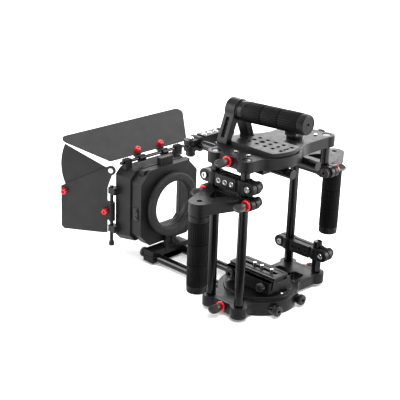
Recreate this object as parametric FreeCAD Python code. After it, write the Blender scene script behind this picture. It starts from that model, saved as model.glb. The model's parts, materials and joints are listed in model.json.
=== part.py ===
import FreeCAD, Part
import math
import os
from FreeCAD import Vector

# Cinema camera rig: a rod cage on a quick-release base, two side handles, a top
# handle and a matte box on 15 mm rods. Millimetres. +Z is up, -Y is the lens side,
# +X is the operator's left. The origin is on the ground under the cage's centre.

# ---- driving dimensions -------------------------------------------------------
ROD_R = 7.5                 # standard 15 mm support rod
ROD_HALF_PITCH = 30.0       # standard 60 mm rod spacing
SLIDE_GAP = 0.05            # radial clearance of a sliding or turning fit
JOINT_GAP = 0.4             # gap between faces that pass each other

POST_X = 97.0               # the four upright rods stand at (+-POST_X, +-ROD_HALF_PITCH)
LOBE_R = 12.0               # lobe of a clamp block or bracket round each upright
PLATE_LOBE_R = 14.0         # lobe of a plate and its jaw round each upright
PLATE_T = 18.0
BASE_Z = 6.0                # underside of the base plate
TOP_Z = 249.0               # underside of the top plate
SPLIT_GAP = 0.6             # saw cut between a plate and its clamp jaws

AXIS_X = 17.0               # lens axis, quick release and lower rods
LOWER_ROD_Z = 12.0          # in the joint between base plate and base cover
LOWER_ROD_Y = (-235.0, 62.0)
TOP_ROD_X = 8.0             # centre of the upper rod pair
TOP_ROD_Z = 241.0
TOP_ROD_Y = (-146.0, 74.0)

BLOCK_H = 20.0              # three-hole clamp blocks
BLOCK_HOLE_PITCH = 13.2
EAR_Y = 44.0                # clamp bolt distance from the block's middle
LEFT_BLOCK_Z = 225.0
RIGHT_BLOCK_Z = 59.0

BRACKET_T = 18.0            # side handle brackets
BRACKET_APEX_X = 163.0
LEFT_BRACKET_Z = 191.0
RIGHT_BRACKET_Z = 199.0
GRIP_LENGTH = 130.0
GRIP_R = 16.2

HANDLE_X = 38.0             # top handle axis
HANDLE_Z = 317.5
HANDLE_TILT = 3.0           # degrees, rear end up
YOKE_Y = (-56.0, -36.0)
HANDLE_END_Y = 96.0

LENS_Z = 107.0              # matte box axis height
STAGE_Y = (-236.0, -212.0)
STAGE_HALF_X = 67.0
STAGE_HALF_Z = 69.0
HOOD_FRONT_Y = -268.0
TOP_HINGE = (-256.0, 184.0)         # Y, Z of the top flag's hinge rod
SIDE_HINGE = (98.5, -271.0)         # X, Y of the side flag's hinge rod
HINGE_R = 3.0
FLAG_T = 1.6
TOP_FLAG_TILT = 26.0
SIDE_FLAG_OPEN = 28.0
FAN_PIVOT = (1.2, 168.6)            # along the flag, height
FAN_R = 93.0
FLAG_KNOB_R = 5.5

X = Vector(1, 0, 0)
Y = Vector(0, 1, 0)
Z = Vector(0, 0, 1)


# ---- helpers --------------------------------------------------------------------
def box(x0, x1, y0, y1, z0, z1):
    return Part.makeBox(x1 - x0, y1 - y0, z1 - z0, Vector(x0, y0, z0))


def rod(start, axis, radius, length):
    return Part.makeCylinder(radius, length, Vector(*start), axis)


def ring(start, axis, outer, inner, length):
    return rod(start, axis, outer, length).cut(rod(start, axis, inner, length))


def join(shapes):
    shapes = list(shapes)
    result = shapes[0]
    if len(shapes) > 1:
        result = shapes[0].fuse(shapes[1:])
    return result.removeSplitter()


def cut_all(shape, tools):
    return shape.cut(list(tools))


def prism(points, direction):
    """Straight extrusion of a closed polygon of 3-D points."""
    corners = [Vector(*p) for p in points]
    return Part.Face(Part.makePolygon(corners + corners[:1])).extrude(direction)


def flat_prism(points, z0, z1):
    return prism([(x, y, z0) for x, y in points], Vector(0, 0, z1 - z0))


def capsule(a, b, radius_a, radius_b, depth):
    """Slab in the XY plane round two circles and their common tangents, from z = 0."""
    ax, ay = a
    bx, by = b
    span = math.hypot(bx - ax, by - ay)
    heading = math.atan2(by - ay, bx - ax)
    lean = math.acos((radius_a - radius_b) / span)
    corners = []
    for centre, radius, side in ((a, radius_a, 1), (b, radius_b, 1), (b, radius_b, -1), (a, radius_a, -1)):
        angle = heading + side * lean
        corners.append((centre[0] + radius * math.cos(angle), centre[1] + radius * math.sin(angle)))
    ends = [rod((ax, ay, 0), Z, radius_a, depth), rod((bx, by, 0), Z, radius_b, depth)]
    return join([flat_prism(corners, 0, depth)] + ends)


def round_edges(shape, radius, wanted):
    """Fillet the straight edges along Z whose foot (x, y) is in wanted."""
    edges = []
    for edge in shape.Edges:
        a, b = edge.Vertexes[0].Point, edge.Vertexes[-1].Point
        upright = math.hypot(a.x - b.x, a.y - b.y) < 1e-6 and abs(a.z - b.z) > 1e-6
        if upright and any(math.hypot(a.x - x, a.y - y) < 0.5 for x, y in wanted):
            edges.append(edge)
    return shape.makeFillet(radius, edges)


def turned(shape, degrees, axis=Z, centre=(0, 0, 0)):
    copy = shape.copy()
    copy.rotate(Vector(*centre), axis, degrees)
    return copy


def moved(shape, x=0.0, y=0.0, z=0.0):
    copy = shape.copy()
    copy.translate(Vector(x, y, z))
    return copy


def mirrored_x(shape):
    return shape.mirror(Vector(0, 0, 0), X)


def mirrored_y(shape):
    return shape.mirror(Vector(0, 0, 0), Y)


def group(shapes):
    return Part.makeCompound(list(shapes))


def save(node, shape):
    shape.exportStep("parts/" + node + ".step")


POSTS = [(sx * POST_X, sy * ROD_HALF_PITCH) for sx in (1, -1) for sy in (1, -1)]


# ---- cage plates, jaws and uprights -------------------------------------------------
WING_SCREW_R = 2.5
WING_HOLE_R = WING_SCREW_R + SLIDE_GAP
WEB_OUTER_X = 103.5         # outer face of a jaw's web
RING_T = 4.5                # red clamp ring
RING_R = 8.6


# Outline of a plate: bulge centre and radius, then half depth and corner blend of its left and right parts.
BASE_OUTLINE = (17.0, 66.0, (37.0, 8.0), (37.0, 26.0))
TOP_OUTLINE = (30.0, 65.0, (44.0, 20.0), (41.0, 60.0))


def plate_blank(z0, outline):
    """Plate with four half lobes and a round bulge front and rear."""
    centre, radius, left, right = outline
    slab = [rod((centre, 0, z0), Z, radius, PLATE_T)]
    corners = []
    for side, (half, blend) in ((1, left), (-1, right)):
        low, high = sorted((centre, side * POST_X))
        slab.append(box(low, high, -half, half, z0, z0 + PLATE_T))
        meets = centre + side * math.sqrt(radius ** 2 - half ** 2)
        corners.append((blend, [(meets, half), (meets, -half)]))
    body = join(slab)
    for blend, feet in corners:
        body = round_edges(body, blend, feet)
    lobes = [rod((x, y, z0), Z, PLATE_LOBE_R, PLATE_T) for x, y in POSTS]
    inside = box(-POST_X, POST_X, -80, 80, z0, z0 + PLATE_T)
    body = join([body] + [lobe.common(inside) for lobe in lobes])
    bores = [rod((x, y, z0 - 1), Z, ROD_R + SLIDE_GAP, PLATE_T + 2) for x, y in POSTS]
    screws = [rod((side * POST_X, 0, z0 + PLATE_T / 2), X * (-side), WING_HOLE_R, 22) for side in (1, -1)]
    return cut_all(body, bores + screws)


def clamp_jaw(z0, side):
    """Dog-bone jaw outside one pair of uprights, with a web that the wing knob pulls in."""
    inner = POST_X + SPLIT_GAP
    lobes = [rod((POST_X, y, z0), Z, PLATE_LOBE_R, PLATE_T) for y in (ROD_HALF_PITCH, -ROD_HALF_PITCH)]
    web = box(inner, WEB_OUTER_X, -ROD_HALF_PITCH, ROD_HALF_PITCH, z0, z0 + PLATE_T)
    outside = box(inner, POST_X + 20, -80, 80, z0, z0 + PLATE_T)
    body = join([web] + [lobe.common(outside) for lobe in lobes])
    bores = [rod((POST_X, y, z0 - 1), Z, ROD_R + SLIDE_GAP, PLATE_T + 2)
             for y in (ROD_HALF_PITCH, -ROD_HALF_PITCH)]
    screw = rod((POST_X, 0, z0 + PLATE_T / 2), X, WING_HOLE_R, 12)
    body = cut_all(body, bores + [screw])
    return body if side > 0 else mirrored_x(body)


WINDOW = ((-70.0, 5.0), (-70.0, 26.0), (-36.0, 33.0), (-43.0, 5.0))     # rear opening; the front one mirrors it
RECEIVER_RING_R = 57.0
COVER_R = 64.0
TRIPOD_COARSE_R = 3.97                  # tapping size of a 3/8-16 thread
TRIPOD_FINE_R = 2.55                    # tapping size of a 1/4-20 thread
TRIPOD_DEPTH = 12.0
TRIPOD_FINE_Y = (-30.0, 30.0)


def base_plate():
    top = BASE_Z + PLATE_T
    body = plate_blank(BASE_Z, BASE_OUTLINE)
    raised = rod((AXIS_X, 0, top), Z, RECEIVER_RING_R, 2.5)
    body = join([body, raised])
    window = round_edges(flat_prism(WINDOW, BASE_Z - 1, top + 4), 3, WINDOW)
    tools = [window, mirrored_y(window)]
    for side in (1, -1):
        tools.append(rod((AXIS_X + side * ROD_HALF_PITCH, -80, LOWER_ROD_Z), Y, ROD_R + SLIDE_GAP, 160))
    tools.append(rod((AXIS_X, 0, BASE_Z), Z, TRIPOD_COARSE_R, TRIPOD_DEPTH))
    tools += [rod((AXIS_X, y, BASE_Z), Z, TRIPOD_FINE_R, TRIPOD_DEPTH) for y in TRIPOD_FINE_Y]
    tools.append(ring((AXIS_X, 0, top + 1.5), Z, RECEIVER_RING_R - 3, RECEIVER_RING_R - 5, 2))
    return cut_all(body, tools)


def base_cover():
    """Round flat cover under the base plate that the rig stands on."""
    body = rod((AXIS_X, 0, 0), Z, COVER_R, BASE_Z)
    holes = [rod((AXIS_X, y, -1), Z, 7, BASE_Z + 2) for y in (0,) + TRIPOD_FINE_Y]
    grooves = [rod((AXIS_X + s * ROD_HALF_PITCH, -80, LOWER_ROD_Z), Y, ROD_R + SLIDE_GAP, 160) for s in (1, -1)]
    return cut_all(body, holes + grooves)


CHEESE_X = 30.0
CHEESE_Y = (-33.0, 62.0)
CHEESE_END_R = 62.0
CHEESE_H = 7.0
CHEESE_PITCH = 16.0
CHEESE_HOLE_R = TRIPOD_FINE_R
CHEESE_BIG_R = TRIPOD_COARSE_R


def cheese_hole_places():
    outer = [(CHEESE_X - 13, -29 + CHEESE_PITCH * i) for i in range(6)]
    inner = [(CHEESE_X + 13, -13 + CHEESE_PITCH * i) for i in range(5)]
    middle = [(CHEESE_X, -13), (CHEESE_X, 19), (CHEESE_X, 35)]
    return outer + inner + middle


def top_plate():
    top = TOP_Z + PLATE_T
    pad = box(HANDLE_X - 36, HANDLE_X + 36, YOKE_Y[0] - 5, 0, TOP_Z, top)
    pad = round_edges(pad, 10, [(HANDLE_X + s * 36, YOKE_Y[0] - 5) for s in (1, -1)])
    body = join([plate_blank(TOP_Z, TOP_OUTLINE), pad])
    groove = box(CHEESE_X - 34, CHEESE_X - 32.5, CHEESE_Y[0], CHEESE_Y[1], top - 1, top + 1)
    return body.cut(groove)


def cheese_plate():
    """Drilled accessory plate on the top plate, with a round rear end."""
    z0 = TOP_Z + PLATE_T
    section = [(CHEESE_X + x, CHEESE_Y[0], z0 + z) for x, z in ((-28, 0), (34, 0), (33.5, CHEESE_H), (-26, CHEESE_H))]
    body = prism(section, Vector(0, CHEESE_Y[1] - CHEESE_Y[0], 0))
    body = body.common(rod((CHEESE_X, 0, z0 - 1), Z, CHEESE_END_R, CHEESE_H + 2))
    holes = [rod((x, y, z0 - 1), Z, CHEESE_HOLE_R, CHEESE_H + 2) for x, y in cheese_hole_places()]
    holes.append(rod((CHEESE_X, 3, z0 - 1), Z, CHEESE_BIG_R, CHEESE_H + 2))
    slot = [rod((CHEESE_X + x, 51, z0 + 3), Z, 1.8, 10) for x in (-5, 5)]
    slot.append(box(CHEESE_X - 5, CHEESE_X + 5, 49.2, 52.8, z0 + 3, z0 + 13))
    return cut_all(body, holes + slot)


POST_FOOT_Z = BASE_Z + 0.8
POST_HEAD_Z = TOP_Z + PLATE_T - 0.8
SHORT_POST_TOP = RIGHT_BLOCK_Z + BLOCK_H / 2 + 11
SHORT_POST_FOOT = RIGHT_BRACKET_Z - 4
RIGHT_REAR = (-POST_X, ROD_HALF_PITCH)


def upright(place, z0, z1):
    body = rod((place[0], place[1], z0), Z, ROD_R, z1 - z0)
    return body.makeChamfer(0.8, [e for e in body.Edges if e.Curve.TypeId == "Part::GeomCircle"])


def long_posts():
    return group(upright(p, POST_FOOT_Z, POST_HEAD_Z) for p in POSTS if p != RIGHT_REAR)


def short_posts():
    return group([upright(RIGHT_REAR, POST_FOOT_Z, SHORT_POST_TOP),
                  upright(RIGHT_REAR, SHORT_POST_FOOT, POST_HEAD_Z)])


# ---- wing knobs --------------------------------------------------------------------
PADDLE_T = 5.0
PADDLE_NECK = 5.0           # half width of the paddle where it leaves the hub
PADDLE_HALF = 8.0           # half width of the paddle at its widest
PADDLE_LENGTH = 24.0
PADDLE_ROLL = 60.0          # degrees that the paddle's flat leans from upright


def clamp_ring(x, y, z):
    """Red ring between a clamp and its wing knob, axis along X, growing towards +X."""
    body = ring((x, y, z), X, RING_R, WING_HOLE_R, RING_T)
    rims = [e for e in body.Edges if e.Curve.TypeId == "Part::GeomCircle" and e.Curve.Radius > RING_R - 0.1]
    return body.makeFillet(0.8, rims)


def wing(x, y, z, screw_length):
    """Thumbscrew on an axis along X: a hub, and a flat paddle that stands out from it."""
    wide = PADDLE_LENGTH - PADDLE_HALF
    paddle = capsule((PADDLE_NECK, 0), (wide, 0), PADDLE_NECK, PADDLE_HALF, PADDLE_T)
    paddle = turned(moved(paddle, 0, 0, -PADDLE_T / 2), 90 + PADDLE_ROLL, X)
    hub = rod((0, 0, 0), X, 5.6, 5)
    screw = rod((-screw_length, 0, 0), X, WING_SCREW_R, screw_length + 1)
    return moved(join([paddle, hub, screw]), x, y, z)


def cage_wing(z, side):
    body = wing(WEB_OUTER_X + RING_T + JOINT_GAP, 0, z, 24)
    return body if side > 0 else mirrored_x(body)


def clamp_rings():
    rings = [clamp_ring(WEB_OUTER_X, 0, z0 + PLATE_T / 2) for z0 in (BASE_Z, TOP_Z)]
    return group(rings + [mirrored_x(r) for r in rings])


# ---- lower rods and quick release ----------------------------------------------------
def lower_rods():
    length = LOWER_ROD_Y[1] - LOWER_ROD_Y[0]
    return group(rod((AXIS_X + s * ROD_HALF_PITCH, LOWER_ROD_Y[0], LOWER_ROD_Z), Y, ROD_R, length)
                 for s in (1, -1))


CAP_KNOB_R = 9.0


def rod_cap(x, y, z, facing):
    """Screwed end knob of a rod, with a neck and a hex socket."""
    body = join([rod((x, y, z), Y * facing, ROD_R - 0.5, 3), rod((x, y + 2 * facing, z), Y * facing, CAP_KNOB_R, 8)])
    return body.cut(rod((x, y + 6 * facing, z), Y * facing, 3, 5))


def rod_caps():
    caps = []
    for side in (1, -1):
        x = AXIS_X + side * ROD_HALF_PITCH
        caps.append(rod_cap(x, LOWER_ROD_Y[0], LOWER_ROD_Z, -1))
        caps.append(rod_cap(x, LOWER_ROD_Y[1], LOWER_ROD_Z, 1))
    return group(caps)


ROD_CLAMP_X = AXIS_X - ROD_HALF_PITCH
ROD_CLAMP_Y = (-85.0, -67.0)
ROD_CLAMP_R = 11.5
ROD_CLAMP_FLAT = ROD_CLAMP_X + 10.5     # flat that the clamp's screw stands on
ROD_CLAMP_SCREW = (-76.0, 12.0)         # Y, Z
ROD_CLAMP_EAR = (19.0, 16.0)            # reach from the rod's axis, thickness
ROD_CLAMP_BOLT_R = 2.1


def rod_clamp():
    """Small clamp on the right lower rod, split on its far side."""
    y0, y1 = ROD_CLAMP_Y
    x, z = ROD_CLAMP_X, LOWER_ROD_Z
    lobe = rod((x, y0, z), Y, ROD_CLAMP_R, y1 - y0)
    reach, thickness = ROD_CLAMP_EAR
    ear = box(x - reach, x, y0, y1, z - thickness / 2, z + thickness / 2)
    tools = [rod((x, y0 - 1, z), Y, ROD_R + SLIDE_GAP, y1 - y0 + 2),
             box(x - reach - 1, x, y0 - 1, y1 + 1, z - 0.7, z + 0.7),
             box(ROD_CLAMP_FLAT, ROD_CLAMP_FLAT + 5, y0 - 1, y1 + 1, 0, 30),
             rod((x - reach + 4.5, (y0 + y1) / 2, 0), Z, ROD_CLAMP_BOLT_R, 40)]
    return cut_all(join([lobe, ear]), tools)


RECEIVER_Y = (-47.0, 46.0)
RECEIVER_HALF = 27.0
RECEIVER_Z = (30.5, 51.0)
RISER = (22.0, 38.0)                        # half width and half length of the foot under the receiver
TONGUE = ((21.0, 37.0), (18.5, 52.0))       # half width and height at the tongue's foot and neck
QUICK_Y = (-49.0, 48.0)
QUICK_HALF = 18.0
QUICK_Z = (48.0, 57.0)
SLOT_HALF = 3.4
POCKET_ROOF = 6.0                           # thickness left above the screw heads
SCREW_R = 3.17                              # 1/4 inch camera screw
NECK_R = 2.6                                # captive screw's neck, through the slot
SCREW_THREAD_Z = 57.4                       # the thread starts just above the plate
SCREW_TOP = 62.4
SCREW_PLACES = (-9.0, 6.0, 27.0)
LOCK_KNOB = (34.0, 42.5)                    # Y, Z
LOCK_SCREW_R = 2.5


def tongue_section(y, grow):
    (foot, z_foot), (neck, z_neck) = TONGUE
    return [(AXIS_X - foot - grow, y, z_foot - grow), (AXIS_X + foot + grow, y, z_foot - grow),
            (AXIS_X + neck + grow, y, z_neck), (AXIS_X - neck - grow, y, z_neck)]


def receiver():
    body = box(AXIS_X - RECEIVER_HALF, AXIS_X + RECEIVER_HALF, *RECEIVER_Y, *RECEIVER_Z)
    body = round_edges(body, 3, [(AXIS_X + s * RECEIVER_HALF, y) for s in (1, -1) for y in RECEIVER_Y])
    half, length = RISER
    riser = box(AXIS_X - half, AXIS_X + half, -length, length, BASE_Z + PLATE_T + 2.5, RECEIVER_Z[0] + 1)
    body = join([body, riser])
    length = RECEIVER_Y[1] - RECEIVER_Y[0] + 2
    channel = prism(tongue_section(RECEIVER_Y[0] - 1, 0.3), Vector(0, length, 0))
    lock = rod((AXIS_X + 15, LOCK_KNOB[0], LOCK_KNOB[1]), X, LOCK_SCREW_R + SLIDE_GAP, 40)
    return cut_all(body, [channel, lock])


def quick_plate():
    """Sliding camera plate: dovetail tongue, slot for the camera screws, end stops."""
    length = QUICK_Y[1] - QUICK_Y[0]
    slab = box(AXIS_X - QUICK_HALF, AXIS_X + QUICK_HALF, *QUICK_Y, *QUICK_Z)
    slab = round_edges(slab, 3, [(AXIS_X + s * QUICK_HALF, y) for s in (1, -1) for y in QUICK_Y])
    tongue = prism(tongue_section(QUICK_Y[0], 0), Vector(0, length, 0))
    body = join([slab, tongue])
    top = QUICK_Z[1]
    slot = box(AXIS_X - SLOT_HALF, AXIS_X + SLOT_HALF, -38, 38, TONGUE[0][1] - 3, top + 1)
    pocket = box(AXIS_X - 8, AXIS_X + 8, -44, 43, TONGUE[0][1] - 3, top - POCKET_ROOF)
    rails = [box(AXIS_X + s * 12 - 1, AXIS_X + s * 12 + 1, -43, 42, top - 2, top + 1) for s in (1, -1)]
    label = box(AXIS_X - 13, AXIS_X + 13, QUICK_Y[1] - 3, QUICK_Y[1] + 1, top - 9, top - 4)
    return cut_all(body, [slot, pocket, label] + rails)


def camera_screws():
    screws = []
    roof = QUICK_Z[1] - POCKET_ROOF
    for y in SCREW_PLACES:
        head = rod((AXIS_X, y, roof - 3.4), Z, 6.5, 3.4)
        head = head.cut(rod((AXIS_X, y, roof - 4), Z, 2.4, 2.6))
        neck = rod((AXIS_X, y, roof - 0.5), Z, NECK_R, SCREW_THREAD_Z - roof + 1)
        screws.append(join([head, neck, rod((AXIS_X, y, SCREW_THREAD_Z), Z, SCREW_R, SCREW_TOP - SCREW_THREAD_Z)]))
    return group(screws)


def lock_knob():
    """Round fluted knob with its screw, on the receiver's left side."""
    x0 = AXIS_X + RECEIVER_HALF + JOINT_GAP
    y, z = LOCK_KNOB
    body = join([rod((x0, y, z), X, 5, 4), rod((x0 + 3, y, z), X, 7.5, 9),
                 rod((x0 - 5.5, y, z), X, LOCK_SCREW_R, 7.5)])
    flutes = [rod((x0 + 2, y + 8.3 * math.cos(a), z + 8.3 * math.sin(a)), X, 1.8, 12)
              for a in (math.radians(45 * i) for i in range(8))]
    return cut_all(body, flutes)


# ---- three-hole clamp blocks ------------------------------------------------------------
# Built with the two rods along Z at y = +-ROD_HALF_PITCH and the hole face towards +X.
FACE_X = 12.0
BACK_X = -9.0
EAR_HALF = 9.5
INSERT_R = 4.3
INSERT_HOLE_R = TRIPOD_FINE_R
BOLT_R = 2.5
NUT_R = 8.0


def clamp_body(height, back, face, middle_half):
    """Two rod bosses, the bar between them and a split ear outside each."""
    parts = [box(back, face, -middle_half, middle_half, 0, height)]
    tools = []
    for side in (1, -1):
        y = side * ROD_HALF_PITCH
        parts.append(rod((0, y, 0), Z, LOBE_R, height))
        low, high = sorted((side * ROD_HALF_PITCH, side * (EAR_Y + 2)))
        parts.append(box(back, EAR_HALF, low, high, 0, height))
        ear_end = rod((back, side * (EAR_Y + 2), height / 2), X, height / 2, EAR_HALF - back)
        parts.append(ear_end.common(box(back, EAR_HALF, -60, 60, 0, height)))
        tools.append(rod((0, y, -1), Z, ROD_R + SLIDE_GAP, height + 2))
        low, high = sorted((side * (ROD_HALF_PITCH + 5), side * 70))
        tools.append(box(-1.0, 1.0, low, high, -1, height + 1))
        tools.append(rod((-40, side * EAR_Y, height / 2), X, BOLT_R + SLIDE_GAP, 80))
        tools.append(rod((back - 10, side * EAR_Y, height / 2), X, NUT_R + 0.4, 10))
    return cut_all(join(parts), tools)


def hole_block():
    body = clamp_body(BLOCK_H, BACK_X, FACE_X, 21)
    holes = [rod((-20, i * BLOCK_HOLE_PITCH, BLOCK_H / 2), X, INSERT_R, 40) for i in (-1, 0, 1)]
    groove = box(-2, 2, -19, 19, BLOCK_H - 1.5, BLOCK_H + 1)
    return cut_all(body, holes + [groove])


def clamp_bolt(y, z, face, back):
    """Socket bolt through an ear, head on the +X side."""
    head = rod((face, y, z), X, 5.0, 3.0)
    head = head.cut(rod((face + 1.2, y, z), X, 2.2, 3))
    return join([head, rod((back - 4, y, z), X, BOLT_R, face - back + 5)])


def knurled_nut(y, z, back):
    """Round nut on the -X side of an ear."""
    body = ring((back - 9, y, z), X, NUT_R, BOLT_R + SLIDE_GAP, 9)
    return body.fuse(rod((back - 10.5, y, z), X, 6.2, 2.0)).removeSplitter()


def block_fittings():
    """Clamp bolts, their nuts and the three threaded inserts."""
    z = BLOCK_H / 2
    fittings = []
    for side in (1, -1):
        fittings.append(clamp_bolt(side * EAR_Y, z, EAR_HALF, BACK_X))
        fittings.append(knurled_nut(side * EAR_Y, z, BACK_X))
    for i in (-1, 0, 1):
        start = (BACK_X, i * BLOCK_HOLE_PITCH, z)
        fittings.append(ring(start, X, INSERT_R - 0.02, INSERT_HOLE_R, FACE_X - BACK_X + 0.8))
    return group(fittings)


def at_left(shape):
    return moved(shape, POST_X, 0, LEFT_BLOCK_Z - BLOCK_H / 2)


def at_right(shape):
    return moved(shape, -POST_X, 0, RIGHT_BLOCK_Z - BLOCK_H / 2)


ROD_BLOCK_Y = -120.0        # rear face of the block on the upper rods


def on_top_rods(shape):
    """Turn a block so that its rods run along Y and its holes face up."""
    return moved(turned(turned(shape, 90, Z), 90, X), TOP_ROD_X, ROD_BLOCK_Y, TOP_ROD_Z)


# ---- side handles ---------------------------------------------------------------------------
def bracket_body():
    """Triangular arm: clamps on two uprights, narrowing to the grip's boss."""
    clamps = clamp_body(BRACKET_T, BACK_X, EAR_HALF, ROD_HALF_PITCH)
    apex = BRACKET_APEX_X - POST_X
    arms = [capsule((0, side * ROD_HALF_PITCH), (apex, 0), LOBE_R, 17.0, BRACKET_T) for side in (1, -1)]
    lean = math.atan2(ROD_HALF_PITCH, apex)
    web = flat_prism([(0, -ROD_HALF_PITCH), (apex, -1), (apex, 1), (0, ROD_HALF_PITCH)], 0, BRACKET_T)
    body = join([clamps, web] + arms)
    window = flat_prism([(13, -18), (13, 18), (42, 18 - 29 * math.tan(lean) * 1.05),
                         (42, -18 + 29 * math.tan(lean) * 1.05)], -1, BRACKET_T + 1)
    window = round_edges(window, 3, [(13, -18), (13, 18)])
    tools = [window, rod((apex, 0, BRACKET_T - 6), Z, 4.0, 8), rod((apex, 0, -1), Z, 3.05, 20)]
    for side in (1, -1):
        y = side * ROD_HALF_PITCH
        tools.append(rod((0, y, -1), Z, ROD_R + SLIDE_GAP, BRACKET_T + 2))
        low, high = sorted((side * (ROD_HALF_PITCH + 5), side * 70))
        tools.append(box(-1.0, 1.0, low, high, -1, BRACKET_T + 1))
        tools.append(rod((-40, side * EAR_Y, BRACKET_T / 2), X, WING_HOLE_R, 80))
        tools.append(rod((BACK_X - 10, side * EAR_Y, BRACKET_T / 2), X, NUT_R + 0.4, 10))
        low, high = sorted((side * (EAR_Y - RING_R - 0.6), side * 70))
        tools.append(box(EAR_HALF, 40, low, high, -1, BRACKET_T + 1))
    return cut_all(body, tools)


def bracket_fittings():
    """Red rings outside the ears and round nuts inside them."""
    z = BRACKET_T / 2
    fittings = []
    for side in (1, -1):
        fittings.append(clamp_ring(EAR_HALF, side * EAR_Y, z))
        fittings.append(knurled_nut(side * EAR_Y, z, BACK_X))
    return group(fittings)


def bracket_wing(side):
    return wing(EAR_HALF + RING_T + JOINT_GAP, side * EAR_Y, BRACKET_T / 2, 30)


GRIP_COLLAR = 13.0
GRIP_CAP = 11.0
CORE_R = 10.0
GROOVE_PLACES = (0.345, 0.66)       # ring grooves along a sleeve


def grip_core(length):
    """Inner tube with its collar and end cap, hanging down from z = 0."""
    collar = rod((0, 0, -GRIP_COLLAR), Z, GRIP_R - 0.4, GRIP_COLLAR)
    collar = collar.cut(ring((0, 0, -4), Z, GRIP_R + 2, GRIP_R - 1.6, 1.5))
    cap = rod((0, 0, -length), Z, GRIP_R - 0.4, GRIP_CAP)
    cap = cap.makeFillet(2.5, [e for e in cap.Edges if e.BoundBox.ZMax < -length + 0.1
                               and e.Curve.TypeId == "Part::GeomCircle"])
    bolt = rod((0, 0, -1), Z, 3.0, 13)
    return join([collar, cap, rod((0, 0, -length + 1), Z, CORE_R, length - 2), bolt])


def grip_sleeve(length):
    """Rubber sleeve with two ring grooves."""
    z0 = -length + GRIP_CAP
    span = length - GRIP_CAP - GRIP_COLLAR
    body = ring((0, 0, z0), Z, GRIP_R, CORE_R, span)
    grooves = [ring((0, 0, z0 + span * part - 0.9), Z, GRIP_R + 2, GRIP_R - 1.2, 1.8) for part in GROOVE_PLACES]
    return cut_all(body, grooves)


def place_handle(shape, side, z):
    placed = moved(shape, POST_X, 0, z)
    return placed if side > 0 else mirrored_x(placed)


def place_grip(shape, side, z):
    return moved(shape, side * BRACKET_APEX_X, 0, z)


# ---- top handle -----------------------------------------------------------------------------
def handle_yoke():
    """A-shaped frame across the top plate, with a round boss for the grip."""
    foot = TOP_Z + PLATE_T
    cx, cz = HANDLE_X, HANDLE_Z
    outer = [(cx - 32, foot), (cx + 32, foot), (cx + 32, foot + 6), (cx + 17, cz - 4),
             (cx - 17, cz - 4), (cx - 32, foot + 6)]
    inner = [(cx - 21, foot - 1), (cx + 21, foot - 1), (cx + 21, foot + 5), (cx + 9, cz - 18),
             (cx - 9, cz - 18), (cx - 21, foot + 5)]
    y0, y1 = YOKE_Y
    depth = Vector(0, y1 - y0, 0)
    body = prism([(x, y0, z) for x, z in outer], depth)
    body = join([body, rod((cx, y0, cz), Y, 17.5, y1 - y0)])
    tools = [prism([(x, y0 - 1, z) for x, z in inner], Vector(0, y1 - y0 + 2, 0))]
    lean = math.degrees(math.atan2(15, cz - 4 - foot - 6))
    for side in (1, -1):
        groove = box(30, 36, y0 + 6.5, y1 - 6.5, foot + 10, cz - 8)
        groove = turned(groove, -lean, Y, (32, 0, foot + 6))
        groove = moved(groove, -1.6, 0, 0)
        tools.append(moved(groove if side > 0 else mirrored_x(groove), cx))
    return cut_all(body, tools)


def tilted(shape):
    return turned(shape, HANDLE_TILT, X, (HANDLE_X, YOKE_Y[1], HANDLE_Z))


def along_handle(shape, y0):
    """Lay a grip that hangs down from z = 0 so that it runs rearwards from y0."""
    return tilted(moved(turned(shape, 90, X), HANDLE_X, y0, HANDLE_Z))


def handle_length():
    return HANDLE_END_Y - YOKE_Y[1]


def handle_core():
    body = along_handle(grip_core(handle_length()), YOKE_Y[1])
    return body.cut(box(HANDLE_X - 40, HANDLE_X + 40, -90, YOKE_Y[1], HANDLE_Z - 40, HANDLE_Z + 40))


def handle_sleeve():
    return along_handle(grip_sleeve(handle_length()), YOKE_Y[1])


SHOE = (-42.0, 8.0)


def cold_shoe():
    """Accessory shoe on a round foot: base, two side rails and the lips over the slot."""
    x, y = SHOE
    z = TOP_Z + PLATE_T
    foot = rod((x, y, z), Z, 13, 6)
    base = box(x - 11, x + 11, y - 11, y + 11, z + 5, z + 8)
    rails = [box(x + s * 10.1 - 1.1, x + s * 10.1 + 1.1, y - 11, y + 11, z + 8, z + 12) for s in (1, -1)]
    lips = [box(x + s * 8.4 - 2.8, x + s * 8.4 + 2.8, y - 11, y + 11, z + 10.2, z + 12) for s in (1, -1)]
    return join([foot, base] + rails + lips)


PLATE_SCREWS = ((81.0, -5.0), (81.0, 20.0), (-81.0, -5.0), (-81.0, 20.0))
SCREW_HEAD = (3.2, 1.6)             # radius and height of the small cap screws


def plate_screws():
    """Small cap screws on the top plate and on the rod clamp."""
    radius, height = SCREW_HEAD
    screws = [rod((x, y, TOP_Z + PLATE_T), Z, radius, height) for x, y in PLATE_SCREWS]
    screws.append(rod((ROD_CLAMP_FLAT, ROD_CLAMP_SCREW[0], ROD_CLAMP_SCREW[1]), X, radius, height))
    return group(screws)


# ---- upper rods -------------------------------------------------------------------------------
def top_rods():
    length = TOP_ROD_Y[1] - TOP_ROD_Y[0]
    return group(rod((TOP_ROD_X + s * ROD_HALF_PITCH, TOP_ROD_Y[0], TOP_ROD_Z), Y, ROD_R, length)
                 for s in (1, -1))


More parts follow.
